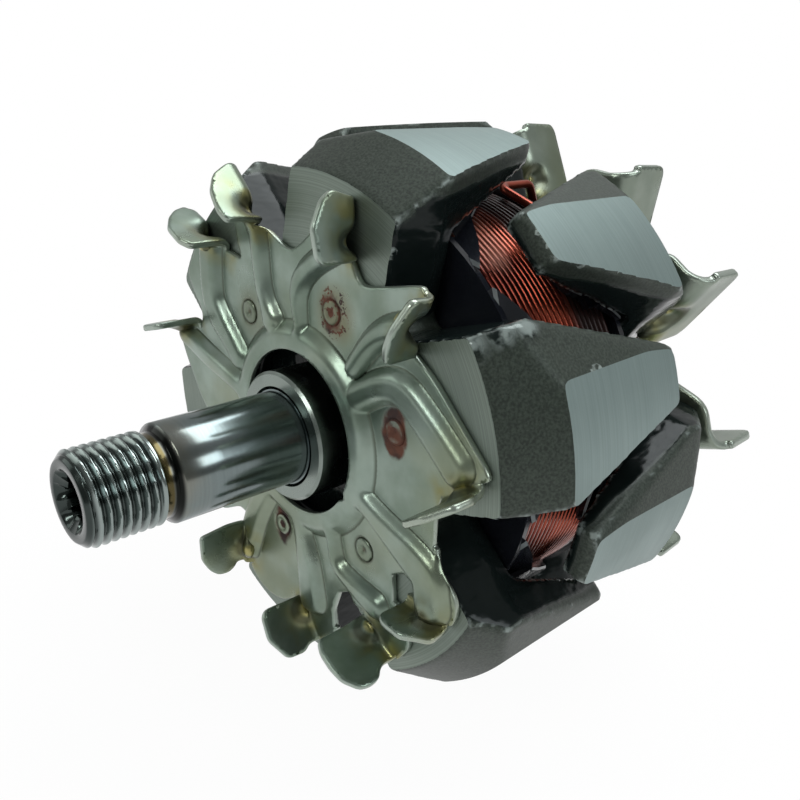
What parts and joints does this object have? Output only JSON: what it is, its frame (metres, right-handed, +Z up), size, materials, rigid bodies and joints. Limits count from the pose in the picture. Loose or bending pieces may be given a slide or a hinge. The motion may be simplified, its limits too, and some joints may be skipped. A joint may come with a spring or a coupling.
{
  "type": "alternator rotor",
  "caption": "Claw-pole alternator rotor: a shaft with interlocking pole pieces round a field winding, a sheet-metal fan at each end and slip rings.",
  "frame": {"origin": "on the shaft's axis at the front face of the spacer, where the front bearing's inner ring seats", "axes": "-Y towards the threaded drive end along the shaft's axis, +Y towards the slip rings, +Z up as the rotor lies on two neighbouring claws"},
  "size_m": [0.1062, 0.1457, 0.1059],
  "materials": {
    "ground_steel": "ground bright, with brown stain in the relief groove",
    "turned_steel": "turned, lightly stained",
    "zinc_plated_sheet": "zinc plated sheet steel with yellow tints at the folds and rust at the welds",
    "pole_steel": "forged steel, dark coated, ground bare on the outside of the claws",
    "core_steel": "turned, uncoated",
    "bobbin_plastic": "black moulded nylon",
    "enamelled_copper": "enamelled copper wire under varnish",
    "lead_copper": "enamelled copper wire",
    "sleeving": "woven glass sleeving",
    "ring_moulding": "moulded phenolic",
    "ring_copper": "turned copper"
  },
  "bodies": {
    "root": {"shaft": "ground_steel", "front_spacer": "turned_steel", "front_fan": "zinc_plated_sheet", "front_pole_piece": "pole_steel", "rear_pole_piece": "pole_steel", "pole_core": "core_steel", "coil_bobbin": "bobbin_plastic", "field_coil": "enamelled_copper", "coil_start_lead": "lead_copper", "coil_end_lead": "lead_copper", "start_lead_sleeve": "sleeving", "end_lead_sleeve": "sleeving", "rear_fan": "zinc_plated_sheet", "slip_ring_body": "ring_moulding", "slip_ring_inner": "ring_copper", "slip_ring_outer": "ring_copper", "inner_ring_conductor": "ring_copper", "outer_ring_conductor": "ring_copper"}
  },
  "joints": []
}
